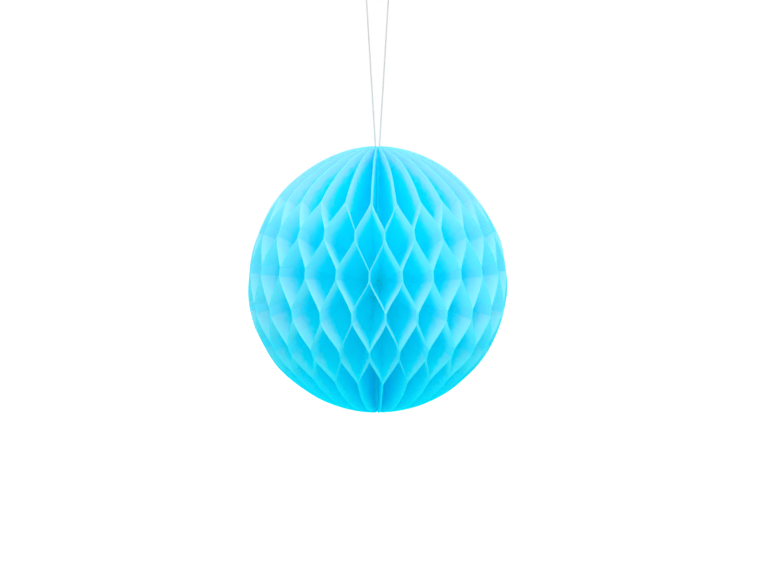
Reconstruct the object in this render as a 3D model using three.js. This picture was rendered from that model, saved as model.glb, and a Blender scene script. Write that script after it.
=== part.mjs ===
// Honeycomb paper ball, hung by a thread loop. Millimetres, +Z up.
// Tissue half discs are glued to each other along staggered strips that run out from the middle of the spine.
// Fanned round the spine they open into rows of cells, and two half-disc cards close the fan at the back.
// The origin is the hang point, under the thread at the top of its loop. The back of the ball faces +Y.
import * as THREE from 'three';

// Outline of the ball
const ballRadius = 50; // at the equator, and the depth of the lower half
const crownHeight = 52.8; // from the equator to the top of the spine, where the thread pulls it up
const crownRoundness = 1.93; // 2 is a true ellipse, and less draws the top to a point
const hangDrop = 116; // from the hang point down to the middle of the equator

// Tissue leaves and the strips that glue them
const leafPairs = 25;
const leafThickness = 0.5;
const cellFloorWidth = 0.3; // between two leaves, where they run together round the spine
const glueRows = 6;
const glueRowPitch = 17.6; // degrees, seen from the middle of the spine
const glueStripWidth = 3.8; // along a leaf's outer edge
const foldSoftness = 0.2; // 0 folds a leaf sharply beside its strips, and 1 rolls it round in an S

// Facets of the curved edges
const slantFacets = 3; // between two glue rows
const poleFacets = 5; // from the last glue row to the core

// End cards and the adhesive between them
const cardThickness = 0.5;
const cardClearance = 0.3; // from a card to the leaf on it and to the core
const adhesiveThickness = 0.3;
const adhesiveWidth = 8;
const adhesiveLength = 24;
const adhesiveInset = 8; // from the round edge of the card
const adhesiveFromEquator = 8; // to the nearer end of a strip

// Thread, its knot and the place for them in the top of the spine
const threadDiameter = 0.6;
const threadSides = 8;
const threadSteps = 70;
const neckRadius = 1.2;
const neckDepth = 5;
const knotLoopRadius = 1.1;
const knotSteps = 30;
const knotClearance = 0.35;

// Middle line of the thread in the XZ plane, from the knot up over the top of the loop and back, as [x, z]
const threadRoute = [
  [-0.55, -68.3],
  [-0.6, -66],
  [-0.77, -63],
  [-1.2, -56],
  [-1.69, -48],
  [-2.18, -40],
  [-2.67, -32],
  [-3.16, -24],
  [-3.6, -16.8],
  [-4, -10.2],
  [-4.3, -5.6],
  [-4.1, -2.9],
  [-3.2, -1.05],
  [-1.75, 0],
  [0, 0.3],
  [1.75, 0],
  [3.2, -1.05],
  [4.1, -2.9],
  [4.3, -5.6],
  [4, -10.2],
  [3.6, -16.8],
  [3.16, -24],
  [2.67, -32],
  [2.18, -40],
  [1.69, -48],
  [1.2, -56],
  [0.77, -63],
  [0.6, -66],
  [0.55, -68.3],
];

// Sizes that follow from those above
const leaves = 2 * leafPairs;
const halfPitch = Math.PI / leafPairs; // from one column of glue strips to the next
const halfStrip = glueStripWidth / ballRadius / 2;
const lastRow = glueRows - 1;
const halfSeam = adhesiveThickness / 2 + cardThickness + cardClearance;
const coreGirth = leaves * leafThickness + leafPairs * cellFloorWidth + 2 * halfSeam;
const coreRadius = coreGirth / (2 * Math.PI);
const knotOuterRadius = knotLoopRadius * 1.5 + threadDiameter / 2; // a trefoil's loops reach this far out
const knotHalfHeight = knotLoopRadius * 0.5 + threadDiameter / 2; // and this far up and down
const pocketRadius = knotOuterRadius + knotClearance;
const pocketTop = crownHeight - neckDepth;
const pocketBottom = pocketTop - 2 * (knotHalfHeight + knotClearance);

const tissue = new THREE.MeshStandardMaterial({ color: 0x3fd3f8, roughness: 0.9, metalness: 0 });
const blueCard = new THREE.MeshStandardMaterial({ color: 0x58c4e6, roughness: 0.8, metalness: 0 });
const adhesive = new THREE.MeshStandardMaterial({ color: 0xe9e6da, roughness: 0.5, metalness: 0 });
const cotton = new THREE.MeshStandardMaterial({ color: 0xeeeeec, roughness: 0.85, metalness: 0 });

// Edge of a leaf at an angle above the equator, seen from the middle of the spine: how far out and how far up
function leafEdge(angle) {
  const upper = angle > 0;
  const power = upper ? crownRoundness : 2;
  const height = upper ? crownHeight : ballRadius;
  const across = Math.cos(angle) / ballRadius;
  const along = Math.abs(Math.sin(angle)) / height;
  const reach = (across ** power + along ** power) ** (-1 / power);
  return { out: reach * Math.cos(angle), up: reach * Math.sin(angle) };
}

// Angle at which the edge comes to a distance from the axis, on the crown or on the lower half
function edgeAngle(out, height, power) {
  const up = height * (1 - (out / ballRadius) ** power) ** (1 / power);
  return Math.atan2(up, out);
}

function rowAngle(row) {
  return THREE.MathUtils.degToRad(glueRowPitch) * (lastRow / 2 - row);
}

// How far a leaf has crossed from one glue row to the next
function crossing(share) {
  return THREE.MathUtils.lerp(share, THREE.MathUtils.smoothstep(share, 0, 1), foldSoftness);
}

// Levels of the ball from the top down. Each lies on a glue row, or part of the way from one to the next.
// glued is the row whose strip, or its run on to the pole, goes on below the level.
function ballLevels() {
  const top = edgeAngle(coreRadius, crownHeight, crownRoundness);
  const bottom = -edgeAngle(coreRadius, ballRadius, 2);
  const levels = [];
  for (let i = 0; i < poleFacets; i += 1) {
    const angle = THREE.MathUtils.lerp(top, rowAngle(0) + halfStrip, i / poleFacets);
    levels.push({ angle, row: 0, next: 0, share: 0, glued: 0 });
  }
  for (let row = 0; row < lastRow; row += 1) {
    const below = rowAngle(row) - halfStrip;
    const nextAbove = rowAngle(row + 1) + halfStrip;
    levels.push({ angle: rowAngle(row) + halfStrip, row, next: row, share: 0, glued: row });
    for (let i = 0; i < slantFacets; i += 1) {
      const angle = THREE.MathUtils.lerp(below, nextAbove, i / slantFacets);
      levels.push({ angle, row, next: row + 1, share: crossing(i / slantFacets), glued: null });
    }
  }
  const lastStrip = { row: lastRow, next: lastRow, share: 0, glued: lastRow };
  levels.push({ angle: rowAngle(lastRow) + halfStrip, ...lastStrip });
  for (let i = 0; i <= poleFacets; i += 1) {
    const angle = THREE.MathUtils.lerp(rowAngle(lastRow) - halfStrip, bottom, i / poleFacets);
    levels.push({ angle, ...lastStrip });
  }
  levels[0].closed = true;
  levels[levels.length - 1].closed = true;
  return levels;
}

// Glue column a leaf is held at in a row: its own column, or the next one round.
// The cards push the columns beside the seam apart, and less so the nearer a column is to the front.
function heldAt(leaf, row) {
  const onNext = (leaf + row) % 2 !== 0;
  const column = onNext ? leaf + 1 : leaf;
  const pushed = halfSeam * (1 - column / leafPairs);
  const beside = (onNext ? -leafThickness : leafThickness) / 2;
  return { turn: column * halfPitch, shift: pushed + beside };
}

// A corner of a leaf at a level. face is -1 or 1, its two faces, and inner is true at the core.
function leafCorner(leaf, level, face, inner) {
  const from = heldAt(leaf, level.row);
  const to = heldAt(leaf, level.next);
  const turn = from.turn * (1 - level.share) + to.turn * level.share;
  const shift = from.shift * (1 - level.share) + to.shift * level.share + (face * leafThickness) / 2;
  const edge = leafEdge(level.angle);
  const atCore = inner && !level.closed;
  const out = atCore ? coreRadius : edge.out;
  const up = atCore ? coreRadius * Math.tan(level.angle) : edge.up;
  const x = -out * Math.sin(turn) - shift * Math.cos(turn);
  const y = out * Math.cos(turn) - shift * Math.sin(turn);
  return new THREE.Vector3(x, y, up);
}

function addTriangle(corners, a, b, c) {
  const flat = a.equals(b) || b.equals(c) || c.equals(a);
  if (!flat) {
    corners.push(a, b, c);
  }
}

function addQuad(corners, a, b, c, d) {
  addTriangle(corners, a, b, c);
  addTriangle(corners, a, c, d);
}

// Outer edges of the leaves, between two levels
function addLeafEdges(corners, above, below) {
  for (let leaf = 0; leaf < leaves; leaf += 1) {
    addQuad(
      corners,
      leafCorner(leaf, above, -1, false),
      leafCorner(leaf, below, -1, false),
      leafCorner(leaf, below, 1, false),
      leafCorner(leaf, above, 1, false),
    );
  }
}

// Walls and floors of the cells between two levels. A gap is closed where its two leaves are glued.
function addCells(corners, above, below) {
  for (let leaf = 0; leaf < leaves; leaf += 1) {
    const before = (leaf + leaves - 1) % leaves;
    const glued = leaf !== 0 && above.glued !== null && (leaf + above.glued) % 2 === 0;
    if (!glued) {
      const left = [above, below].map((level) => leafCorner(before, level, 1, false));
      const leftFoot = [above, below].map((level) => leafCorner(before, level, 1, true));
      const right = [above, below].map((level) => leafCorner(leaf, level, -1, false));
      const rightFoot = [above, below].map((level) => leafCorner(leaf, level, -1, true));
      addQuad(corners, left[0], left[1], leftFoot[1], leftFoot[0]);
      addQuad(corners, rightFoot[0], rightFoot[1], right[1], right[0]);
      addQuad(corners, leftFoot[0], leftFoot[1], rightFoot[1], rightFoot[0]);
    }
  }
}

function ringPoint(radius, pair, up) {
  const turn = 2 * (pair % leafPairs) * halfPitch;
  return new THREE.Vector3(-radius * Math.sin(turn), radius * Math.cos(turn), up);
}

// Top of the spine: an end face round the neck for the thread, and the wider pocket under it for the knot
function addSpineTop(corners, level) {
  const floorMiddle = new THREE.Vector3(0, 0, pocketBottom);
  for (let pair = 0; pair < leafPairs; pair += 1) {
    const first = 2 * pair;
    const edge = [
      leafCorner(first, level, -1, false),
      leafCorner(first, level, 1, false),
      leafCorner(first + 1, level, -1, false),
      leafCorner(first + 1, level, 1, false),
      leafCorner((first + 2) % leaves, level, -1, false),
    ];
    const neck = [pair, pair + 1].map((i) => ringPoint(neckRadius, i, crownHeight));
    const neckEnd = [pair, pair + 1].map((i) => ringPoint(neckRadius, i, pocketTop));
    const pocket = [pair, pair + 1].map((i) => ringPoint(pocketRadius, i, pocketTop));
    const floor = [pair, pair + 1].map((i) => ringPoint(pocketRadius, i, pocketBottom));
    addTriangle(corners, edge[0], edge[1], neck[0]);
    addTriangle(corners, edge[1], edge[2], neck[0]);
    addTriangle(corners, edge[2], neck[1], neck[0]);
    addTriangle(corners, edge[2], edge[3], neck[1]);
    addTriangle(corners, edge[3], edge[4], neck[1]);
    addQuad(corners, neck[1], neckEnd[1], neckEnd[0], neck[0]);
    addQuad(corners, neckEnd[0], neckEnd[1], pocket[1], pocket[0]);
    addQuad(corners, pocket[1], floor[1], floor[0], pocket[0]);
    addTriangle(corners, floor[0], floor[1], floorMiddle);
  }
}

function addSpineBottom(corners, level) {
  const tip = new THREE.Vector3(0, 0, -ballRadius);
  for (let leaf = 0; leaf < leaves; leaf += 1) {
    const low = leafCorner(leaf, level, -1, false);
    const high = leafCorner(leaf, level, 1, false);
    const following = leafCorner((leaf + 1) % leaves, level, -1, false);
    addTriangle(corners, high, low, tip);
    addTriangle(corners, following, high, tip);
  }
}

function honeycombGeometry() {
  const levels = ballLevels();
  const corners = [];
  for (let i = 0; i < levels.length - 1; i += 1) {
    addLeafEdges(corners, levels[i], levels[i + 1]);
    addCells(corners, levels[i], levels[i + 1]);
  }
  addSpineTop(corners, levels[0]);
  addSpineBottom(corners, levels[levels.length - 1]);
  const geometry = new THREE.BufferGeometry().setFromPoints(corners);
  geometry.computeVertexNormals();
  return geometry;
}

// Half disc of card with the leaves' outline, standing in the YZ plane, its straight side beside the core
function cardGeometry() {
  const straightSide = coreRadius + cardClearance;
  const top = edgeAngle(straightSide, crownHeight, crownRoundness);
  const bottom = -edgeAngle(straightSide, ballRadius, 2);
  const facets = 2 * poleFacets + (slantFacets + 1) * glueRows;
  const outline = [];
  for (let i = 0; i <= facets; i += 1) {
    const edge = leafEdge(THREE.MathUtils.lerp(bottom, top, i / facets));
    outline.push(new THREE.Vector2(edge.out, edge.up));
  }
  return sheetGeometry(new THREE.Shape(outline), cardThickness);
}

function adhesiveGeometry() {
  const strip = new THREE.Shape();
  strip.moveTo(-adhesiveWidth / 2, -adhesiveLength / 2);
  strip.lineTo(adhesiveWidth / 2, -adhesiveLength / 2);
  strip.lineTo(adhesiveWidth / 2, adhesiveLength / 2);
  strip.lineTo(-adhesiveWidth / 2, adhesiveLength / 2);
  return sheetGeometry(strip, adhesiveThickness);
}

// A flat sheet drawn as (out, up), with its middle plane on the YZ plane
function sheetGeometry(shape, thickness) {
  const geometry = new THREE.ExtrudeGeometry(shape, { depth: thickness, bevelEnabled: false });
  geometry.translate(0, 0, -thickness / 2);
  geometry.rotateX(Math.PI / 2);
  geometry.rotateZ(Math.PI / 2);
  return geometry;
}

function threadGeometry() {
  const points = threadRoute.map(([x, z]) => new THREE.Vector3(x, 0, z));
  const section = new THREE.Shape();
  for (let i = 0; i < threadSides; i += 1) {
    const turn = ((i + 0.5) * 2 * Math.PI) / threadSides;
    const x = (threadDiameter / 2) * Math.cos(turn);
    const y = (threadDiameter / 2) * Math.sin(turn);
    if (i === 0) {
      section.moveTo(x, y);
    } else {
      section.lineTo(x, y);
    }
  }
  const extrudePath = new THREE.CatmullRomCurve3(points);
  return new THREE.ExtrudeGeometry(section, { steps: threadSteps, bevelEnabled: false, extrudePath });
}

// An overhand knot drawn tight is a trefoil: twice round its axis, with three loops
function knotGeometry() {
  const turns = 2;
  const loops = 3;
  const threadRadius = threadDiameter / 2;
  return new THREE.TorusKnotGeometry(knotLoopRadius, threadRadius, knotSteps, threadSides, turns, loops);
}

function addPiece(parent, name, geometry, material, x, y, z) {
  const piece = new THREE.Mesh(geometry, material);
  piece.name = name;
  piece.position.set(x, y, z);
  parent.add(piece);
}

const paperBall = new THREE.Group();
const ball = new THREE.Group();
ball.position.z = -hangDrop;
paperBall.add(ball);

addPiece(ball, 'honeycomb_body', honeycombGeometry(), tissue, 0, 0, 0);

const cardOffset = (adhesiveThickness + cardThickness) / 2;
addPiece(ball, 'left_end_card', cardGeometry(), blueCard, -cardOffset, 0, 0);
addPiece(ball, 'right_end_card', cardGeometry(), blueCard.clone(), cardOffset, 0, 0);

const stripEnd = adhesiveFromEquator + adhesiveLength;
const stripOut = Math.sqrt(ballRadius ** 2 - stripEnd ** 2) - adhesiveInset - adhesiveWidth / 2;
const stripUp = adhesiveFromEquator + adhesiveLength / 2;
const strip = adhesiveGeometry();
addPiece(ball, 'upper_adhesive_strip', strip, adhesive, 0, stripOut, stripUp);
addPiece(ball, 'lower_adhesive_strip', strip, adhesive.clone(), 0, stripOut, -stripUp);

const knotMiddle = pocketBottom + knotClearance + knotHalfHeight;
addPiece(ball, 'thread_knot', knotGeometry(), cotton, 0, 0, knotMiddle);
addPiece(paperBall, 'hanging_thread', threadGeometry(), cotton.clone(), 0, 0, 0);

export default paperBall;
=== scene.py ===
"""Honeycomb paper ball on a thread loop: tissue leaves, end cards, thread and a white studio.

Everything is in metres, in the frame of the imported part: the origin is the hang point under the top of the
thread loop, +Z is up and the back of the ball, where the end cards meet, faces +Y.
"""

import math

import bpy
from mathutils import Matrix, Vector


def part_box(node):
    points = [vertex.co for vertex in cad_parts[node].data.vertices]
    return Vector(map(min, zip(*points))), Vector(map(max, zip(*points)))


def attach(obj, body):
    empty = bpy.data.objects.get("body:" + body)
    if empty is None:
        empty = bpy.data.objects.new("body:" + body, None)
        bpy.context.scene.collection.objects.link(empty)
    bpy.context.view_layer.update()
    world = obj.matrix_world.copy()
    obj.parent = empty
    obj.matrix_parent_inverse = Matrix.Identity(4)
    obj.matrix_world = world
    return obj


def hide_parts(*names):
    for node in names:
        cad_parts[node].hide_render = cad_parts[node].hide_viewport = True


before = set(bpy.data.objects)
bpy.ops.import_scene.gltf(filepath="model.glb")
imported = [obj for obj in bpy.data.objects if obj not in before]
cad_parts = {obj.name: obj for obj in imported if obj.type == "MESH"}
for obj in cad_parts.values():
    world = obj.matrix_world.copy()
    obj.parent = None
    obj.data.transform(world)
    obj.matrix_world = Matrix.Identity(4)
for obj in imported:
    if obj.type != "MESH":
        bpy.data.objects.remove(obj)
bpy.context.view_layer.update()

MM = 0.001

# Outline of the ball and how the tissue leaves are glued
BALL_RADIUS = 50 * MM
CROWN_HEIGHT = 52.8 * MM
CROWN_ROUNDNESS = 1.93
LOWER_ROUNDNESS = 2
HANG_DROP = 116 * MM
LEAF_PAIRS = 25
GLUE_ROWS = 6
GLUE_ROW_PITCH = math.radians(17.6)
GLUE_STRIP_WIDTH = 3.8 * MM
FOLD_SOFTNESS = 0.25
CREASE_ANGLE = math.radians(12)

# The fan was opened by hand: its columns wander a little, and the tissue cockles
WANDER = 3.6 * MM
WANDER_SCALE = 30
WANDER_SEED = 261
COCKLE = 0.35 * MM
COCKLE_SCALE = 140
COCKLE_SEED = 7.5
UNEVEN_DETAIL = 1

# Thin tissue: a leaf has more steps towards its cut edge, and gets thinner where the leaves crowd together
TISSUE_THICKNESS = 0.22 * MM
CROWDED_THICKNESS = 0.85
NECK_RADIUS = 1.4 * MM
POLE_FOOT = 0.9
SEAM_HALF_WIDTH = 0.95 * MM
SLANT_STEPS = 10
POLE_STEPS = 20
DEPTH_STEPS = 8
EDGE_CROWDING = 1.6

# Glued spine: its rounded ends as radius and distance from the pole, and the thread's way in
SPINE_RADIUS = 5.475 * MM
SPINE_SIDES = 100
SPINE_STEPS = 20
SPINE_SHOULDER = 4 * MM
SPINE_END = [(3.3 * MM, 1.8 * MM), (1.9 * MM, 0.8 * MM), (1.37 * MM, 0.25 * MM)]
THREAD_NECK = 1.2 * MM
KNOT_CLEARANCE = 0.35 * MM

# End cards
CARD_EDGE_STEPS = 72
CARD_EDGE_ROUNDING = 0.1 * MM

# Middle line of the thread as [x, z], from the knot up over the top of the loop and back
THREAD_ROUTE_MM = [
    (-0.55, -68.3), (-0.6, -66), (-0.77, -63), (-1.2, -56), (-1.69, -48), (-2.18, -40), (-2.67, -32),
    (-3.16, -24), (-3.6, -16.8), (-4, -10.2), (-4.3, -5.6), (-4.1, -2.9), (-3.2, -1.05), (-1.75, 0),
    (0, 0.3),
    (1.75, 0), (3.2, -1.05), (4.1, -2.9), (4.3, -5.6), (4, -10.2), (3.6, -16.8), (3.16, -24),
    (2.67, -32), (2.18, -40), (1.69, -48), (1.2, -56), (0.77, -63), (0.6, -66), (0.55, -68.3),
]
ROUTE_STEPS = 8
THREAD_DIAMETER = 0.6 * MM
THREAD_STEP = 0.2 * MM
THREAD_PLIES = 3
PLY_TWIST = 2.4 * MM
PLY_LAY = 0.27
YARN_SIDES = 7

# Camera, from the photograph's frame
IMAGE_WIDTH = 767
IMAGE_HEIGHT = 585
BALL_WIDTH_PX = 259
BALL_MIDDLE_PX = (377.5, 283.2)
CAMERA_DISTANCE = 0.8
CAMERA_ELEVATION = math.radians(6.5)
CAMERA_AZIMUTH = math.radians(-3.1)
SENSOR_WIDTH = 36.0
NEAREST_SEEN = 0.01
FARTHEST_SEEN = 100

# Soft light, mostly from above, in a white room: each softbox has a place, a width and a power. Most of the
# light that is seen has come through many sheets, so it is followed for many bounces.
DOME_TOP_LIGHT = 0.76
DOME_LOW_LIGHT = 0.28
SOFTBOXES = {
    "top_softbox": ((0.25, -0.3, 0.75), 1.0, 3.6),
    "front_softbox": ((-0.3, -1.3, 0.2), 0.9, 2.4),
}
PAPER_BOUNCES = 256

# Tissue dye: how much of each colour a sheet sends back or lets through. The inner and core colours are the
# dye drawn
# lighter as painted bounce light: the inner one starts at a share of the way from a leaf's edge to the
# spine, and where the pairs of leaves stay closed at the top and bottom, and the core one lies nearer the
# spine.
FULL_DYE = (0.0, 0.955, 0.995)
INNER_DYE_AND_PAINTED_BOUNCE = (0.0, 0.989, 0.9995)
CORE_DYE_AND_PAINTED_BOUNCE = (0.0, 0.999, 1.0)
INNER_DYE_AND_PAINTED_BOUNCE_DEPTH = (0.135, 0.45)
CORE_DYE_AND_PAINTED_BOUNCE_DEPTH = (0.45, 0.9)
CLOSED_HEIGHT = (15 * MM, 38 * MM)
CLOSED_LOW_HEIGHT = (-30 * MM, -42 * MM)
CLOSED_PAINTED_BOUNCE_SHARE = 0.8
CLOSED_LOW_PAINTED_BOUNCE_SHARE = 0.3

# Painted light: the dye is drawn paler where light falls, at the outer edges and more on the upper sides of
# the folds;
# the pale band reaches less deep low down and in the closed pairs at the top, is weaker at the cut edge, and
# is missing on the underside of the ball
PAINTED_LIGHT_COLOUR = (0.86, 0.963, 0.999)
PAINTED_LIGHT_THROUGH = (0.84, 0.963, 0.999)
PAINTED_LIGHT_DEPTH = (5 * MM, 10 * MM)
PAINTED_LIGHT_DEPTH_UNEVENNESS = 1.5 * MM
PAINTED_LIGHT_HEIGHT = (-42 * MM, -10 * MM)
OPEN_HEIGHT = (-30 * MM, -4 * MM)
LOW_DEPTH_SHARE = 0.28
TOP_DEPTH_SHARE = 0.54
TOP_PAINTED_LIGHT = 0.3
SKYWARD = (-0.45, 0.35)
PAINTED_LIGHT_UNDERSIDE = 0.33
PAINTED_LIGHT_FLECK = 0.06
CUT_EDGE = 0.1 * MM
CUT_EDGE_PAINTED_LIGHT = 0.4

# Share of the light that goes through a sheet, through a glued strip and through the dense glued spine, and
# the share of the way in at which the spine starts
TISSUE_THINNESS = 0.68
GLUED_THINNESS = 0.82
SPINE_THINNESS = 0.1
SPINE_DEPTH = (0.95, 1.0)
TISSUE_FIBRES = (900, 420)
TISSUE_ROUGHNESS = 0.9
TISSUE_BUMP = (0.35, 0.12 * MM)

# Paper fibres and the clouds of a thin sheet
FIBRE_LENGTH = 7
FIBRE_DETAIL = 3
FIBRE_START = 0.5
FIBRE_CONTRAST = 4
FIBRE_HEIGHT = 0.4
CLOUD_DETAIL = 4
CLOUD_START = 0.3
CLOUD_CONTRAST = 2.5
CLOUD_HEIGHT = 0.6

# Blue card with a faint nap
CARD_DARK = (0.08, 0.5, 0.76)
CARD_PALE = (0.12, 0.58, 0.83)
CARD_NAP = (0.35, 0.72, 0.9)
CARD_NAP_SHARE = 0.25
CARD_FIBRES = (700, 160)
CARD_ROUGHNESS = (0.72, 0.87)
CARD_BUMP = (0.4, 0.05 * MM)

# Milky adhesive film on a tissue carrier
FILM_DULL = (0.72, 0.68, 0.58)
FILM_CLEAR = (0.82, 0.79, 0.7)
FILM_CARRIER = (0.88, 0.87, 0.82)
FILM_CARRIER_SHARE = 0.3
FILM_FIBRES = (500, 240)
FILM_ROUGHNESS = (0.25, 0.45)
FILM_BUMP = (0.3, 0.04 * MM)

# White cotton yarn with fine hairs along it
COTTON_DARK = (0.93, 0.93, 0.92)
COTTON_PALE = (0.99, 0.99, 0.98)
COTTON_HAIRS = (6, 6, 1)
COTTON_HAIR_SCALE = 2200
COTTON_HAIR_DETAIL = 4
COTTON_ROUGHNESS = 0.9
COTTON_SHEEN = 0.6
COTTON_BUMP = (0.5, 0.06 * MM)

# Floor
FLOOR_HEIGHT = -0.75
FLOOR_WIDTH = 12
FLOOR_COLOUR = (0.5, 0.5, 0.5, 1)
WHITE = (1, 1, 1, 1)

BALL_MIDDLE = Vector((0, 0, -HANG_DROP))


# Camera

def make_camera():
    """A camera that puts the ball where the photograph has it, at the same size."""
    metre_px = BALL_WIDTH_PX / (2 * BALL_RADIUS)
    out = Vector((
        math.sin(CAMERA_AZIMUTH) * math.cos(CAMERA_ELEVATION),
        -math.cos(CAMERA_AZIMUTH) * math.cos(CAMERA_ELEVATION),
        math.sin(CAMERA_ELEVATION),
    ))
    turned = out.to_track_quat("Z", "Y")
    right = turned @ Vector((1, 0, 0))
    up = turned @ Vector((0, 1, 0))
    across = (IMAGE_WIDTH / 2 - BALL_MIDDLE_PX[0]) / metre_px
    above = (IMAGE_HEIGHT / 2 - BALL_MIDDLE_PX[1]) / metre_px
    lens = bpy.data.cameras.new("studio_camera")
    lens.sensor_width = SENSOR_WIDTH
    lens.lens = metre_px * CAMERA_DISTANCE * SENSOR_WIDTH / IMAGE_WIDTH
    lens.clip_start = NEAREST_SEEN
    lens.clip_end = FARTHEST_SEEN
    camera = bpy.data.objects.new("studio_camera", lens)
    camera.rotation_mode = "QUATERNION"
    camera.rotation_quaternion = turned
    camera.location = BALL_MIDDLE + out * CAMERA_DISTANCE + right * across - up * above
    bpy.context.scene.collection.objects.link(camera)
    bpy.context.scene.camera = camera


# Node sums

class Sum:
    """A value in a node tree, so that a rule is written as a plain sum."""

    def __init__(self, tree, socket):
        self.tree = tree
        self.socket = socket

    def step(self, operation, *others):
        node = self.tree.nodes.new("ShaderNodeMath")
        node.operation = operation
        for socket, value in zip(node.inputs, (self, *others)):
            if isinstance(value, Sum):
                self.tree.links.new(value.socket, socket)
            else:
                socket.default_value = value
        return Sum(self.tree, node.outputs[0])

    def reversed_step(self, operation, other):
        node = self.tree.nodes.new("ShaderNodeMath")
        node.operation = operation
        node.inputs[0].default_value = other
        self.tree.links.new(self.socket, node.inputs[1])
        return Sum(self.tree, node.outputs[0])

    def __add__(self, other):
        return self.step("ADD", other)

    __radd__ = __add__

    def __sub__(self, other):
        return self.step("SUBTRACT", other)

    def __rsub__(self, other):
        return self.reversed_step("SUBTRACT", other)

    def __mul__(self, other):
        return self.step("MULTIPLY", other)

    __rmul__ = __mul__

    def __truediv__(self, other):
        return self.step("DIVIDE", other)

    def __rtruediv__(self, other):
        return self.reversed_step("DIVIDE", other)

    def __pow__(self, other):
        return self.step("POWER", other)

    def __mod__(self, other):
        return self.step("MODULO", other)

    def limited(self, low, high):
        return self.step("MAXIMUM", low).step("MINIMUM", high)

    def towards(self, other, share):
        return self + (other - self) * share


def node_of(tree, kind, **settings):
    node = tree.nodes.new(kind)
    for name, value in settings.items():
        setattr(node, name, value)
    return node


def new_geometry_tree(name, sizes):
    """A Geometry Nodes tree with a geometry input and output and one named input for each size."""
    tree = bpy.data.node_groups.new(name, "GeometryNodeTree")
    tree.interface.new_socket("Geometry", in_out="INPUT", socket_type="NodeSocketGeometry")
    for size_name, value in sizes.items():
        kind = "NodeSocketInt" if isinstance(value, int) else "NodeSocketFloat"
        tree.interface.new_socket(size_name, in_out="INPUT", socket_type=kind)
    tree.interface.new_socket("Material", in_out="INPUT", socket_type="NodeSocketMaterial")
    tree.interface.new_socket("Geometry", in_out="OUTPUT", socket_type="NodeSocketGeometry")
    given = tree.nodes.new("NodeGroupInput")
    result = tree.nodes.new("NodeGroupOutput")
    values = {size_name: Sum(tree, given.outputs[size_name]) for size_name in sizes}
    return tree, given, result, values


def stored(tree, geometry, name, kind, domain, value):
    """The geometry with a value stored on it under a name."""
    store = node_of(tree, "GeometryNodeStoreNamedAttribute", data_type=kind, domain=domain)
    store.inputs["Name"].default_value = name
    tree.links.new(geometry, store.inputs["Geometry"])
    tree.links.new(value, store.inputs["Value"])
    return store.outputs["Geometry"]


def numbered_copies(tree, geometry, amount, name):
    """Copies of a geometry, and the number of each, which is stored under a name."""
    instance = tree.nodes.new("GeometryNodeGeometryToInstance")
    tree.links.new(geometry, instance.inputs[0])
    copies = node_of(tree, "GeometryNodeDuplicateElements", domain="INSTANCE")
    tree.links.new(instance.outputs[0], copies.inputs["Geometry"])
    tree.links.new(amount.socket, copies.inputs["Amount"])
    index = copies.outputs["Duplicate Index"]
    realize = tree.nodes.new("GeometryNodeRealizeInstances")
    numbered = stored(tree, copies.outputs["Geometry"], name, "INT", "INSTANCE", index)
    tree.links.new(numbered, realize.inputs["Geometry"])
    number = node_of(tree, "GeometryNodeInputNamedAttribute", data_type="INT")
    number.inputs["Name"].default_value = name
    return realize.outputs["Geometry"], Sum(tree, number.outputs["Attribute"])


def end_tree(tree, given, result, geometry):
    """One plain mesh in the given material comes out of the tree."""
    realize = tree.nodes.new("GeometryNodeRealizeInstances")
    tree.links.new(geometry, realize.inputs["Geometry"])
    dyed = tree.nodes.new("GeometryNodeSetMaterial")
    tree.links.new(realize.outputs["Geometry"], dyed.inputs["Geometry"])
    tree.links.new(given.outputs["Material"], dyed.inputs["Material"])
    tree.links.new(dyed.outputs["Geometry"], result.inputs["Geometry"])


def grown(name, base, tree, sizes, material):
    """The plain mesh that a tree grows from base, as a new object at the origin."""
    seedling = bpy.data.objects.new(f"{name}_seedling", base)
    bpy.context.scene.collection.objects.link(seedling)
    modifier = seedling.modifiers.new(name, "NODES")
    modifier.node_group = tree
    for item in tree.interface.items_tree:
        if item.in_out == "INPUT" and item.name in sizes:
            modifier[item.identifier] = sizes[item.name]
        if item.in_out == "INPUT" and item.name == "Material":
            modifier[item.identifier] = material
    ready = seedling.evaluated_get(bpy.context.evaluated_depsgraph_get())
    mesh = bpy.data.meshes.new_from_object(ready)
    mesh.name = name
    bpy.data.objects.remove(seedling)
    piece = bpy.data.objects.new(name, mesh)
    bpy.context.scene.collection.objects.link(piece)
    return piece


# Hanging thread

def smooth_route(points, steps):
    """A smooth line through the route's points, evenly divided between each two."""
    line = []
    last = len(points) - 1
    for i in range(last):
        before, start = points[max(i - 1, 0)], points[i]
        end, after = points[i + 1], points[min(i + 2, last)]
        for step in range(steps):
            t = step / steps
            line.append(0.5 * (
                2 * start
                + (end - before) * t
                + (2 * before - 5 * start + 4 * end - after) * t ** 2
                + (3 * start - before - 3 * end + after) * t ** 3
            ))
    line.append(points[last])
    return line


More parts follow.
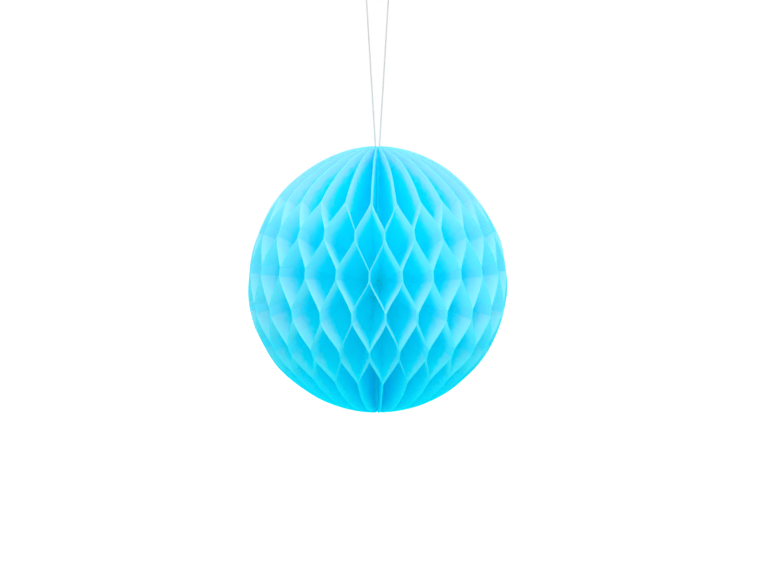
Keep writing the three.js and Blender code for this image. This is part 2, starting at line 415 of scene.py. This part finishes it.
def thread_tree(sizes):
    """Plies laid round a line and twisted along it, each a round yarn."""
    tree, given, result, size = new_geometry_tree("twisted_plies", sizes)
    link = tree.links.new
    resample = node_of(tree, "GeometryNodeResampleCurve", mode="LENGTH")
    link(given.outputs["Geometry"], resample.inputs["Curve"])
    link(given.outputs["Step"], resample.inputs["Length"])
    plies, ply = numbered_copies(tree, resample.outputs["Curve"], size["Plies"], "ply")
    along = tree.nodes.new("GeometryNodeSplineParameter")
    turns = Sum(tree, along.outputs["Length"]) / size["Twist"]
    turn = (turns + ply / size["Plies"]) * (2 * math.pi)
    tangent = tree.nodes.new("GeometryNodeInputTangent")
    across = node_of(tree, "ShaderNodeVectorMath", operation="CROSS_PRODUCT")
    link(tangent.outputs[0], across.inputs[0])
    across.inputs[1].default_value = (0, 1, 0)
    sideways = node_of(tree, "ShaderNodeVectorMath", operation="SCALE")
    link(across.outputs[0], sideways.inputs[0])
    link((turn.step("COSINE") * size["Lay Radius"]).socket, sideways.inputs["Scale"])
    forwards = tree.nodes.new("ShaderNodeCombineXYZ")
    link((turn.step("SINE") * size["Lay Radius"]).socket, forwards.inputs["Y"])
    offset = node_of(tree, "ShaderNodeVectorMath", operation="ADD")
    link(sideways.outputs[0], offset.inputs[0])
    link(forwards.outputs[0], offset.inputs[1])
    laid = tree.nodes.new("GeometryNodeSetPosition")
    link(plies, laid.inputs["Geometry"])
    link(offset.outputs[0], laid.inputs["Offset"])

    section = tree.nodes.new("GeometryNodeCurvePrimitiveCircle")
    section.inputs["Resolution"].default_value = YARN_SIDES
    link(given.outputs["Yarn Radius"], section.inputs["Radius"])
    yarn = tree.nodes.new("GeometryNodeCurveToMesh")
    link(laid.outputs["Geometry"], yarn.inputs["Curve"])
    link(section.outputs["Curve"], yarn.inputs["Profile Curve"])
    yarn.inputs["Fill Caps"].default_value = True
    smooth = tree.nodes.new("GeometryNodeSetShadeSmooth")
    link(yarn.outputs["Mesh"], smooth.inputs["Geometry"])
    end_tree(tree, given, result, smooth.outputs["Geometry"])
    return tree


def make_thread(material):
    points = [Vector((x * MM, 0, z * MM)) for x, z in THREAD_ROUTE_MM]
    path = smooth_route(points, ROUTE_STEPS)
    line = bpy.data.curves.new("thread_line", "CURVE")
    line.dimensions = "3D"
    spline = line.splines.new("POLY")
    spline.points.add(len(path) - 1)
    for point, place in zip(spline.points, path):
        point.co = (*place, 1)
    lay_radius = THREAD_DIAMETER * PLY_LAY
    sizes = {
        "Step": THREAD_STEP,
        "Plies": THREAD_PLIES,
        "Twist": PLY_TWIST,
        "Lay Radius": lay_radius,
        "Yarn Radius": THREAD_DIAMETER / 2 - lay_radius,
    }
    thread = grown("cotton_thread", line, thread_tree(sizes), sizes, material)
    length = sum((b - a).length for a, b in zip(path, path[1:]))
    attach(thread, "root")
    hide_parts("hanging_thread")


# Tissue leaves

def leaf_tree(sizes):
    """Every leaf of the fan: a thin sheet that crosses from one glue column to the next between rows."""
    tree, given, result, size = new_geometry_tree("tissue_fan", sizes)
    link = tree.links.new
    blank = tree.nodes.new("GeometryNodeMeshCube")
    step_count = (size["Glue Rows"] - 1) * (size["Slant Steps"] + 2) + size["Pole Steps"] * 2
    link((step_count + 1).socket, blank.inputs["Vertices X"])
    link((size["Depth Steps"] + 1).socket, blank.inputs["Vertices Y"])
    blank.inputs["Vertices Z"].default_value = 2
    leaves, leaf = numbered_copies(tree, blank.outputs["Mesh"], size["Leaf Pairs"] * 2, "leaf")

    place = tree.nodes.new("ShaderNodeSeparateXYZ")
    link(tree.nodes.new("GeometryNodeInputPosition").outputs[0], place.inputs[0])
    upward = Sum(tree, place.outputs["X"]) + 0.5
    inward = (0.5 - Sum(tree, place.outputs["Y"])) ** EDGE_CROWDING
    face = Sum(tree, place.outputs["Z"]) * 2

    # Steps up the leaf: some to the lowest glue row, then half a strip, a slant and half a strip for each
    # crossing, and some more from the highest row to the pole
    step = upward * step_count
    crossing_steps = size["Slant Steps"] + 2
    crossings = size["Glue Rows"] - 1
    climbed = (step - size["Pole Steps"]).limited(0, crossings * crossing_steps)
    crossing = (climbed / crossing_steps).step("FLOOR").step("MINIMUM", crossings - 1)
    local = climbed - crossing * crossing_steps
    straight = ((local - 1) / size["Slant Steps"]).limited(0, 1)
    strip_share = local.limited(0, 1) + (local - size["Slant Steps"] - 1).limited(0, 1)

    # Angle above the equator, from just beside the spine at the bottom to just beside it at the top
    tip = size["Neck Radius"]
    narrow = tip / size["Ball Radius"]
    crown_tip = (1 - narrow ** size["Crown Roundness"]) ** (1 / size["Crown Roundness"])
    crown_angle = (crown_tip * size["Crown Height"]).step("ARCTAN2", tip)
    lower_tip = (1 - narrow ** LOWER_ROUNDNESS) ** (1 / LOWER_ROUNDNESS)
    lower_angle = (lower_tip * size["Ball Radius"]).step("ARCTAN2", tip)
    strip = size["Strip Width"] / size["Ball Radius"] / size["Row Pitch"] / 2
    row = crossing + strip_share * strip + straight * (1 - strip * 2)
    row_span = size["Row Pitch"] * crossings / 2
    to_top = (step - size["Pole Steps"] - crossings * crossing_steps) / size["Pole Steps"]
    to_bottom = 1 - step / size["Pole Steps"]
    angle = row * size["Row Pitch"] - row_span
    angle = angle + to_top.limited(0, 1) * (crown_angle - row_span)
    angle = angle - to_bottom.limited(0, 1) * (lower_angle - row_span)

    # Each leaf is held on odd glue columns in the lowest row, on even ones in the next and so on
    rolled = straight * straight * (3 - straight * 2)
    share = straight.towards(rolled, size["Fold Softness"])
    crossed = (1 - share).towards(share, crossing % 2)
    crossed = crossed.towards(1 - crossed, leaf % 2)
    column = leaf + crossed

    # Edge of the leaf on the ball's outline
    sine = angle.step("SINE")
    cosine = angle.step("COSINE")
    upper = angle.step("GREATER_THAN", 0)
    power = size["Crown Roundness"] * upper + (1 - upper) * LOWER_ROUNDNESS
    height = size["Ball Radius"].towards(size["Crown Height"], upper)
    across = (cosine / size["Ball Radius"]) ** power
    along = (sine.step("ABSOLUTE") / height) ** power
    reach = (across + along) ** (-1 / power)
    foot = (size["Spine Radius"] / cosine).step("MINIMUM", reach * POLE_FOOT)
    depth = (reach - foot) * inward
    distance = reach - depth
    out = distance * cosine

    # Leaves lie side by side in a glue strip, and get thinner where they crowd at the spine
    half_pitch = math.pi / size["Leaf Pairs"]
    room = half_pitch * out - size["Seam Half Width"] / size["Leaf Pairs"]
    thickness = (room * CROWDED_THICKNESS).step("MINIMUM", size["Leaf Thickness"])
    pushed = size["Seam Half Width"] * (1 - column / size["Leaf Pairs"])
    shift = pushed + thickness * (0.5 - crossed + face / 2)
    turn = column * half_pitch
    turn_sine = turn.step("SINE")
    turn_cosine = turn.step("COSINE")
    corner = tree.nodes.new("ShaderNodeCombineXYZ")
    link((0 - out * turn_sine - shift * turn_cosine).socket, corner.inputs["X"])
    link((out * turn_cosine - shift * turn_sine).socket, corner.inputs["Y"])
    link((distance * sine - size["Hang Drop"]).socket, corner.inputs["Z"])

    # The hand-opened fan is a little uneven and the tissue cockles, though not at the spine and the cards
    free = (leaf + 0.5) / size["Leaf Pairs"] * (math.pi / 2)
    free = free.step("SINE") * out / size["Ball Radius"]
    marked = stored(tree, leaves, "from_edge", "FLOAT", "POINT", depth.socket)
    marked = stored(tree, marked, "inward", "FLOAT", "POINT", inward.socket)
    marked = stored(tree, marked, "free", "FLOAT", "POINT", free.socket)
    below = local.step("LESS_THAN", 1)
    above = local.step("GREATER_THAN", size["Slant Steps"] + 1)
    marked = stored(tree, marked, "glued", "FLOAT", "FACE", below.step("MAXIMUM", above).socket)
    shaped = tree.nodes.new("GeometryNodeSetPosition")
    link(marked, shaped.inputs["Geometry"])
    link(corner.outputs[0], shaped.inputs["Position"])
    freedom = node_of(tree, "GeometryNodeInputNamedAttribute", data_type="FLOAT")
    freedom.inputs["Name"].default_value = "free"
    free = Sum(tree, freedom.outputs["Attribute"])
    wander = uneven(tree, free * size["Wander"], WANDER_SCALE, WANDER_SEED)
    cockle = uneven(tree, free * size["Cockle"], COCKLE_SCALE, COCKLE_SEED)
    moved = tree.nodes.new("GeometryNodeSetPosition")
    link(shaped.outputs["Geometry"], moved.inputs["Geometry"])
    both = node_of(tree, "ShaderNodeVectorMath", operation="ADD")
    link(wander, both.inputs[0])
    link(cockle, both.inputs[1])
    link(both.outputs[0], moved.inputs["Offset"])

    smooth = tree.nodes.new("GeometryNodeSetShadeSmooth")
    link(moved.outputs["Geometry"], smooth.inputs["Geometry"])
    bend = tree.nodes.new("GeometryNodeInputMeshEdgeAngle")
    sharp = Sum(tree, bend.outputs["Unsigned Angle"]).step("LESS_THAN", size["Crease Angle"])
    crisp = node_of(tree, "GeometryNodeSetShadeSmooth", domain="EDGE")
    link(smooth.outputs["Geometry"], crisp.inputs["Geometry"])
    link(sharp.socket, crisp.inputs["Shade Smooth"])
    # Upward facing of each face, which the tissue material uses to paint light on the upper sides of the
    # folds
    facing = tree.nodes.new("ShaderNodeSeparateXYZ")
    link(tree.nodes.new("GeometryNodeInputNormal").outputs[0], facing.inputs[0])
    turned = stored(tree, crisp.outputs["Geometry"], "skyward", "FLOAT", "FACE", facing.outputs["Z"])
    end_tree(tree, given, result, turned)
    return tree


def uneven(tree, amount, scale, seed):
    """A soft push in all directions that changes over the ball."""
    noise = node_of(tree, "ShaderNodeTexNoise", noise_dimensions="4D")
    noise.inputs["W"].default_value = seed
    noise.inputs["Scale"].default_value = scale
    noise.inputs["Detail"].default_value = UNEVEN_DETAIL
    centred = node_of(tree, "ShaderNodeVectorMath", operation="SUBTRACT")
    tree.links.new(noise.outputs["Color"], centred.inputs[0])
    centred.inputs[1].default_value = (0.5, 0.5, 0.5)
    scaled = node_of(tree, "ShaderNodeVectorMath", operation="SCALE")
    tree.links.new(centred.outputs[0], scaled.inputs[0])
    tree.links.new(amount.socket, scaled.inputs["Scale"])
    return scaled.outputs[0]


def make_leaves(material):
    sizes = {
        "Ball Radius": BALL_RADIUS,
        "Crown Height": CROWN_HEIGHT,
        "Crown Roundness": CROWN_ROUNDNESS,
        "Hang Drop": HANG_DROP,
        "Leaf Pairs": LEAF_PAIRS,
        "Leaf Thickness": TISSUE_THICKNESS,
        "Spine Radius": SPINE_RADIUS,
        "Neck Radius": NECK_RADIUS,
        "Glue Rows": GLUE_ROWS,
        "Row Pitch": GLUE_ROW_PITCH,
        "Strip Width": GLUE_STRIP_WIDTH,
        "Fold Softness": FOLD_SOFTNESS,
        "Crease Angle": CREASE_ANGLE,
        "Seam Half Width": SEAM_HALF_WIDTH,
        "Wander": WANDER,
        "Cockle": COCKLE,
        "Slant Steps": SLANT_STEPS,
        "Pole Steps": POLE_STEPS,
        "Depth Steps": DEPTH_STEPS,
    }
    blank = bpy.data.meshes.new("leaf_blank")
    leaves = grown("tissue_leaves", blank, leaf_tree(sizes), sizes, material)
    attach(leaves, "root")
    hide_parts("honeycomb_body")


def new_piece(name, corners, faces, material):
    """A plain mesh piece on the root body."""
    mesh = bpy.data.meshes.new(name)
    mesh.from_pydata(corners, [], faces)
    mesh.materials.append(material)
    piece = bpy.data.objects.new(name, mesh)
    bpy.context.scene.collection.objects.link(piece)
    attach(piece, "root")
    return piece


def ring_faces(rings, count):
    """Faces between rings of corners, each ring joined to the one after it."""
    faces = []
    for ring in range(rings - 1):
        for i in range(count):
            j = (i + 1) % count
            start, following = ring * count, (ring + 1) * count
            faces.append((start + i, start + j, following + j, following + i))
    return faces


def leaf_edge(angle):
    """How far out and how far up the edge of a leaf is, at an angle above the equator."""
    power = CROWN_ROUNDNESS if angle > 0 else LOWER_ROUNDNESS
    height = CROWN_HEIGHT if angle > 0 else BALL_RADIUS
    across = (math.cos(angle) / BALL_RADIUS) ** power
    along = (abs(math.sin(angle)) / height) ** power
    reach = (across + along) ** (-1 / power)
    return reach * math.cos(angle), reach * math.sin(angle)


def make_spine(material):
    """The leaves' glued ends: a round core with rounded ends, a neck for the thread and a knot's pocket."""
    knot_low, knot_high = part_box("thread_knot")
    pocket = (knot_high[0] - knot_low[0]) / 2 + KNOT_CLEARANCE
    ceiling = knot_high[2] + KNOT_CLEARANCE + HANG_DROP
    floor = knot_low[2] - KNOT_CLEARANCE + HANG_DROP
    profile = [(radius, inset - BALL_RADIUS) for radius, inset in reversed(SPINE_END)]
    lowest = SPINE_SHOULDER - BALL_RADIUS
    highest = CROWN_HEIGHT - SPINE_SHOULDER
    for i in range(SPINE_STEPS + 1):
        profile.append((SPINE_RADIUS, lowest + (highest - lowest) * i / SPINE_STEPS))
    profile += [(radius, CROWN_HEIGHT - inset) for radius, inset in SPINE_END]
    profile += [(THREAD_NECK, profile[-1][1]), (THREAD_NECK, ceiling), (pocket, ceiling), (pocket, floor)]
    corners = []
    depths = []
    for radius, height in profile:
        reach = math.hypot(*leaf_edge(math.atan2(height, radius)))
        depths += [reach - math.hypot(radius, height)] * SPINE_SIDES
        for i in range(SPINE_SIDES):
            turn = 2 * math.pi * i / SPINE_SIDES
            corners.append((radius * math.cos(turn), radius * math.sin(turn), height - HANG_DROP))
    faces = ring_faces(len(profile), SPINE_SIDES)
    last = (len(profile) - 1) * SPINE_SIDES
    faces.append(tuple(reversed(range(SPINE_SIDES))))
    faces.append(tuple(range(last, last + SPINE_SIDES)))
    spine = new_piece("glued_spine", corners, faces, material)
    depth = spine.data.attributes.new("from_edge", "FLOAT", "POINT")
    depth.data.foreach_set("value", depths)
    inward = spine.data.attributes.new("inward", "FLOAT", "POINT")
    inward.data.foreach_set("value", [1.0] * len(corners))
    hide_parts("honeycomb_body")


# End cards

def make_card(name, node, material):
    """A half disc of card with the leaves' outline and a softly cut edge, straight at the spine."""
    low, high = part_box(node)
    start = math.atan2(low[2] + HANG_DROP, low[1])
    end = math.atan2(high[2] + HANG_DROP, low[1])
    outline = []
    for i in range(CARD_EDGE_STEPS + 1):
        outline.append(leaf_edge(start + (end - start) * i / CARD_EDGE_STEPS))
    rounding = CARD_EDGE_ROUNDING
    middle = (low[1] + high[1]) / 2
    inset = 1 - rounding / (high[1] - middle)
    layers = [(low[0], inset), (low[0] + rounding, 1), (high[0] - rounding, 1), (high[0], inset)]
    corners = []
    for x, shrink in layers:
        for out, up in outline:
            corners.append((x, middle + (out - middle) * shrink, up * shrink - HANG_DROP))
    count = len(outline)
    faces = ring_faces(len(layers), count)
    last = (len(layers) - 1) * count
    faces.append(tuple(reversed(range(count))))
    faces.append(tuple(range(last, last + count)))
    card = new_piece(name, corners, faces, material)
    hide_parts(node)


# Materials

def new_material(name):
    material = bpy.data.materials.new(name)
    material.use_nodes = True
    tree = material.node_tree
    return material, tree, tree.nodes["Principled BSDF"]


def paper_fibres():
    """Nodes for paper: crossing fibres, the cloudy look of a thin sheet, and the height of both."""
    group = bpy.data.node_groups.new("paper_fibres", "ShaderNodeTree")
    group.interface.new_socket("Vector", in_out="INPUT", socket_type="NodeSocketVector")
    group.interface.new_socket("Fibre Scale", in_out="INPUT", socket_type="NodeSocketFloat")
    group.interface.new_socket("Cloud Scale", in_out="INPUT", socket_type="NodeSocketFloat")
    for name in ("Fibres", "Clouds", "Height"):
        group.interface.new_socket(name, in_out="OUTPUT", socket_type="NodeSocketFloat")
    given = group.nodes.new("NodeGroupInput")
    result = group.nodes.new("NodeGroupOutput")
    strands = []
    for stretch in ((FIBRE_LENGTH, 1, 1), (1, FIBRE_LENGTH, 1), (1, 1, FIBRE_LENGTH)):
        drawn = node_of(group, "ShaderNodeVectorMath", operation="MULTIPLY")
        group.links.new(given.outputs["Vector"], drawn.inputs[0])
        drawn.inputs[1].default_value = stretch
        noise = group.nodes.new("ShaderNodeTexNoise")
        group.links.new(drawn.outputs[0], noise.inputs["Vector"])
        group.links.new(given.outputs["Fibre Scale"], noise.inputs["Scale"])
        noise.inputs["Detail"].default_value = FIBRE_DETAIL
        strands.append(Sum(group, noise.outputs["Fac"]))
    matted = strands[0].step("MAXIMUM", strands[1]).step("MAXIMUM", strands[2])
    fibres = ((matted - FIBRE_START) * FIBRE_CONTRAST).limited(0, 1)
    cloud = group.nodes.new("ShaderNodeTexNoise")
    group.links.new(given.outputs["Vector"], cloud.inputs["Vector"])
    group.links.new(given.outputs["Cloud Scale"], cloud.inputs["Scale"])
    cloud.inputs["Detail"].default_value = CLOUD_DETAIL
    clouds = ((Sum(group, cloud.outputs["Fac"]) - CLOUD_START) * CLOUD_CONTRAST).limited(0, 1)
    height = fibres * FIBRE_HEIGHT + clouds * CLOUD_HEIGHT
    group.links.new(fibres.socket, result.inputs["Fibres"])
    group.links.new(clouds.socket, result.inputs["Clouds"])
    group.links.new(height.socket, result.inputs["Height"])
    return group


def laid_fibres(tree, group, fibre_scale, cloud_scale):
    """Fibres, clouds and height of paper in a material, on the piece's own coordinates."""
    place = tree.nodes.new("ShaderNodeTexCoord")
    laid = tree.nodes.new("ShaderNodeGroup")
    laid.node_tree = group
    tree.links.new(place.outputs["Object"], laid.inputs["Vector"])
    laid.inputs["Fibre Scale"].default_value = fibre_scale
    laid.inputs["Cloud Scale"].default_value = cloud_scale
    return [Sum(tree, laid.outputs[name]) for name in ("Fibres", "Clouds", "Height")]


def add_bump(height, strength, distance, *shaders):
    bump = height.tree.nodes.new("ShaderNodeBump")
    bump.inputs["Strength"].default_value = strength
    bump.inputs["Distance"].default_value = distance
    height.tree.links.new(height.socket, bump.inputs["Height"])
    for shader in shaders:
        height.tree.links.new(bump.outputs[0], shader.inputs["Normal"])


def mixed_colour(share, low, high):
    """A colour between two, each a plain colour or the output of a node."""
    mix = node_of(share.tree, "ShaderNodeMix", data_type="RGBA")
    share.tree.links.new(share.socket, mix.inputs["Factor"])
    for socket, colour in ((mix.inputs["A"], low), (mix.inputs["B"], high)):
        if isinstance(colour, tuple):
            socket.default_value = (*colour, 1)
        else:
            share.tree.links.new(colour, socket)
    return mix.outputs["Result"]


def ramp(value, low, high):
    """From 0 to 1 as a value goes from low to high."""
    span = value.tree.nodes.new("ShaderNodeMapRange")
    span.inputs["From Min"].default_value = low
    span.inputs["From Max"].default_value = high
    value.tree.links.new(value.socket, span.inputs["Value"])
    return Sum(value.tree, span.outputs["Result"])


def between(share, low, high):
    """From low to high as a share goes from 0 to 1."""
    return share * (high - low) + low


def kept_on_leaf(tree, name):
    """A value that is stored on the leaves and the spine under a name."""
    return Sum(tree, node_of(tree, "ShaderNodeAttribute", attribute_name=name).outputs["Fac"])


def height_on_ball(tree):
    """Height above the middle of the ball."""
    place = tree.nodes.new("ShaderNodeTexCoord")
    height = tree.nodes.new("ShaderNodeSeparateXYZ")
    tree.links.new(place.outputs["Object"], height.inputs[0])
    return Sum(tree, height.outputs["Z"]) + HANG_DROP


def painted_light_share(tree, height, inside, fibres, clouds):
    """How much painted light there is: the share of the pale colour that stands for light falling on the
    tissue.
    """
    depth = kept_on_leaf(tree, "from_edge")
    clouded_depth = depth + (clouds - 0.5) * PAINTED_LIGHT_DEPTH_UNEVENNESS
    closed_pairs = ramp(height, *CLOSED_HEIGHT)
    reached = between(ramp(height, *OPEN_HEIGHT), LOW_DEPTH_SHARE, 1)
    reached = reached - closed_pairs * (1 - TOP_DEPTH_SHARE)
    # Painted light along the outer part of each leaf, reaching less deep low down and in the closed pairs at
    # the top
    outer = (1 - ramp(clouded_depth / reached, *PAINTED_LIGHT_DEPTH)) * (1 - inside)
    # Painted light on the folds: fullest on the upper sides, a smaller share on the undersides
    upper = between(ramp(kept_on_leaf(tree, "skyward"), *SKYWARD), PAINTED_LIGHT_UNDERSIDE, 1)
    # Less painted light right at the cut edge
    uncut = between(ramp(depth, 0, CUT_EDGE), CUT_EDGE_PAINTED_LIGHT, 1)
    # Painted light from above: paler higher up the ball and more in the closed pairs at the top, none low
    # down
    painted_light_from_above = ramp(height, *PAINTED_LIGHT_HEIGHT) * (1 + closed_pairs * TOP_PAINTED_LIGHT)
    return (outer * (painted_light_from_above * upper + fibres * PAINTED_LIGHT_FLECK) * uncut).limited(0, 1)


def dye_with_painted_bounce(height, inside, inward):
    """The dye under the painted light, from the leaves' edges to the spine, drawn lighter deeper in and in
    the closed pairs as painted bounce light.
    """
    closed = ramp(height, *CLOSED_HEIGHT) * CLOSED_PAINTED_BOUNCE_SHARE
    closed = closed + ramp(height, *CLOSED_LOW_HEIGHT) * CLOSED_LOW_PAINTED_BOUNCE_SHARE
    dye_and_inner_painted_bounce = mixed_colour(inside.step("MAXIMUM", closed), FULL_DYE, INNER_DYE_AND_PAINTED_BOUNCE)
    return mixed_colour(ramp(inward, *CORE_DYE_AND_PAINTED_BOUNCE_DEPTH), dye_and_inner_painted_bounce, CORE_DYE_AND_PAINTED_BOUNCE)


def tissue_material(group):
    """Thin dyed tissue that light comes through, with painted light where light falls on it and painted
    bounce light deeper in.
    """
    material, tree, paper = new_material("dyed_tissue")
    fibres, clouds, relief = laid_fibres(tree, group, *TISSUE_FIBRES)
    height = height_on_ball(tree)
    inward = kept_on_leaf(tree, "inward")
    inside = ramp(inward, *INNER_DYE_AND_PAINTED_BOUNCE_DEPTH)
    painted_light = painted_light_share(tree, height, inside, fibres, clouds)
    # The dye, drawn lighter deeper in and in the closed pairs as painted bounce light
    dye_and_painted_bounce = dye_with_painted_bounce(height, inside, inward)
    # The pale colour is painted light, in what the sheet sends back and in what it lets through
    tree.links.new(mixed_colour(painted_light, dye_and_painted_bounce, PAINTED_LIGHT_COLOUR), paper.inputs["Base Color"])
    paper.inputs["Roughness"].default_value = TISSUE_ROUGHNESS
    glow = tree.nodes.new("ShaderNodeBsdfTranslucent")
    tree.links.new(mixed_colour(painted_light, dye_and_painted_bounce, PAINTED_LIGHT_THROUGH), glow.inputs["Color"])
    add_bump(relief, *TISSUE_BUMP, paper, glow)
    thinness = between(kept_on_leaf(tree, "glued"), TISSUE_THINNESS, GLUED_THINNESS)
    thinness = thinness.towards(SPINE_THINNESS, ramp(inward, *SPINE_DEPTH))
    sheet = tree.nodes.new("ShaderNodeMixShader")
    tree.links.new(thinness.socket, sheet.inputs[0])
    tree.links.new(paper.outputs[0], sheet.inputs[1])
    tree.links.new(glow.outputs[0], sheet.inputs[2])
    tree.links.new(sheet.outputs[0], tree.nodes["Material Output"].inputs["Surface"])
    return material


def card_material(group):
    """Blue card: a matted surface with a faint nap."""
    material, tree, card = new_material("blue_card")
    fibres, clouds, relief = laid_fibres(tree, group, *CARD_FIBRES)
    worn = mixed_colour(clouds, CARD_DARK, CARD_PALE)
    tree.links.new(mixed_colour(fibres * CARD_NAP_SHARE, worn, CARD_NAP), card.inputs["Base Color"])
    tree.links.new(between(clouds, *CARD_ROUGHNESS).socket, card.inputs["Roughness"])
    add_bump(relief, *CARD_BUMP, card)
    return material


def adhesive_material(group):
    """Double-sided adhesive: a milky film on a thin tissue carrier."""
    material, tree, film = new_material("milky_adhesive")
    fibres, clouds, relief = laid_fibres(tree, group, *FILM_FIBRES)
    milky = mixed_colour(clouds, FILM_DULL, FILM_CLEAR)
    carrier = mixed_colour(fibres * FILM_CARRIER_SHARE, milky, FILM_CARRIER)
    tree.links.new(carrier, film.inputs["Base Color"])
    tree.links.new(between(clouds, *FILM_ROUGHNESS).socket, film.inputs["Roughness"])
    add_bump(relief, *FILM_BUMP, film)
    return material


def cotton_material():
    """Undyed cotton: fine hairs along the yarn and a soft nap."""
    material, tree, yarn = new_material("white_cotton")
    place = tree.nodes.new("ShaderNodeTexCoord")
    drawn = node_of(tree, "ShaderNodeVectorMath", operation="MULTIPLY")
    tree.links.new(place.outputs["Object"], drawn.inputs[0])
    drawn.inputs[1].default_value = COTTON_HAIRS
    noise = tree.nodes.new("ShaderNodeTexNoise")
    tree.links.new(drawn.outputs[0], noise.inputs["Vector"])
    noise.inputs["Scale"].default_value = COTTON_HAIR_SCALE
    noise.inputs["Detail"].default_value = COTTON_HAIR_DETAIL
    hairs = Sum(tree, noise.outputs["Fac"])
    tree.links.new(mixed_colour(hairs, COTTON_DARK, COTTON_PALE), yarn.inputs["Base Color"])
    yarn.inputs["Roughness"].default_value = COTTON_ROUGHNESS
    yarn.inputs["Sheen Weight"].default_value = COTTON_SHEEN
    add_bump(hairs, *COTTON_BUMP, yarn)
    return material


def finish_kept_nodes(materials):
    """The CAD nodes that stay get their finished materials."""
    for name, material in materials.items():
        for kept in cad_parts[name].material_slots:
            kept.material = material


# Studio

def white_to_the_lens(tree):
    """One where the lens, a gloss or a clear surface looks, and nothing where light falls on the object."""
    path = tree.nodes.new("ShaderNodeLightPath")
    seen = Sum(tree, path.outputs["Is Camera Ray"])
    seen = seen.step("MAXIMUM", Sum(tree, path.outputs["Is Glossy Ray"]))
    return seen.step("MAXIMUM", Sum(tree, path.outputs["Is Transmission Ray"]))


def make_world():
    world = bpy.data.worlds.new("studio")
    world.use_nodes = True
    bpy.context.scene.world = world
    tree = world.node_tree
    room = tree.nodes["Background"]
    room.inputs["Color"].default_value = WHITE
    direction = tree.nodes.new("ShaderNodeTexCoord")
    height = tree.nodes.new("ShaderNodeSeparateXYZ")
    tree.links.new(direction.outputs["Generated"], height.inputs[0])
    dome = between(ramp(Sum(tree, height.outputs["Z"]), -1, 1), DOME_LOW_LIGHT, DOME_TOP_LIGHT)
    tree.links.new(dome.socket, room.inputs["Strength"])
    white = tree.nodes.new("ShaderNodeBackground")
    white.inputs["Color"].default_value = WHITE
    white.inputs["Strength"].default_value = 1
    mix = tree.nodes.new("ShaderNodeMixShader")
    tree.links.new(white_to_the_lens(tree).socket, mix.inputs[0])
    tree.links.new(room.outputs[0], mix.inputs[1])
    tree.links.new(white.outputs[0], mix.inputs[2])
    tree.links.new(mix.outputs[0], tree.nodes["World Output"].inputs["Surface"])


def make_floor():
    material, tree, paint = new_material("white_floor")
    paint.inputs["Base Color"].default_value = FLOOR_COLOUR
    paint.inputs["Roughness"].default_value = 1
    paint.inputs["Specular IOR Level"].default_value = 0
    paint.inputs["Emission Color"].default_value = WHITE
    tree.links.new(white_to_the_lens(tree).socket, paint.inputs["Emission Strength"])
    mesh = bpy.data.meshes.new("studio_floor")
    half = FLOOR_WIDTH / 2
    corners = [(-half, -half), (half, -half), (half, half), (-half, half)]
    mesh.from_pydata([(x, y, FLOOR_HEIGHT) for x, y in corners], [], [(0, 1, 2, 3)])
    mesh.materials.append(material)
    floor = bpy.data.objects.new("studio_floor", mesh)
    bpy.context.scene.collection.objects.link(floor)


def make_softbox(name, place, width, power):
    lamp = bpy.data.lights.new(name, "AREA")
    lamp.shape = "DISK"
    lamp.size = width
    lamp.energy = power
    holder = bpy.data.objects.new(name, lamp)
    holder.location = place
    holder.rotation_mode = "QUATERNION"
    holder.rotation_quaternion = (holder.location - BALL_MIDDLE).to_track_quat("Z", "Y")
    holder.visible_camera = False
    bpy.context.scene.collection.objects.link(holder)


def make_studio():
    bpy.context.scene.view_settings.view_transform = "Standard"
    bpy.context.scene.cycles.max_bounces = PAPER_BOUNCES
    bpy.context.scene.cycles.diffuse_bounces = PAPER_BOUNCES
    bpy.context.scene.cycles.transmission_bounces = PAPER_BOUNCES
    make_world()
    make_floor()
    for name, (place, width, power) in SOFTBOXES.items():
        make_softbox(name, place, width, power)


make_camera()
cotton = cotton_material()
make_thread(cotton)

fibre_nodes = paper_fibres()
tissue = tissue_material(fibre_nodes)
make_leaves(tissue)
make_spine(tissue)
card = card_material(fibre_nodes)
make_card("left_card", "left_end_card", card)
make_card("right_card", "right_end_card", card)
adhesive = adhesive_material(fibre_nodes)
finish_kept_nodes({
    "upper_adhesive_strip": adhesive,
    "lower_adhesive_strip": adhesive,
    "thread_knot": cotton,
})
make_studio()
